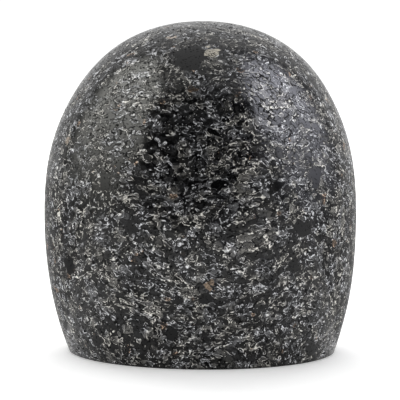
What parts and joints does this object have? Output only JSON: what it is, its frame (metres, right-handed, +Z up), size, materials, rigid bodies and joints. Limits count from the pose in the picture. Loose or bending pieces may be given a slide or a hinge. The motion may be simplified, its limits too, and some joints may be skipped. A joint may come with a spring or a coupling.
{
  "type": "basalt massage stone",
  "caption": "Palm-held massage stone: a solid, polished dome of dark speckled basalt, widest below mid-height, narrowing to a flat ground underside.",
  "frame": {"origin": "centre of the flat underside", "axes": "+Z up along the stone's axis, from the underside to the crown; +X and +Y lie in the underside"},
  "size_m": [0.066, 0.066, 0.0696],
  "materials": {
    "basalt": "gloss"
  },
  "bodies": {
    "root": {"stone": "basalt"}
  },
  "joints": []
}
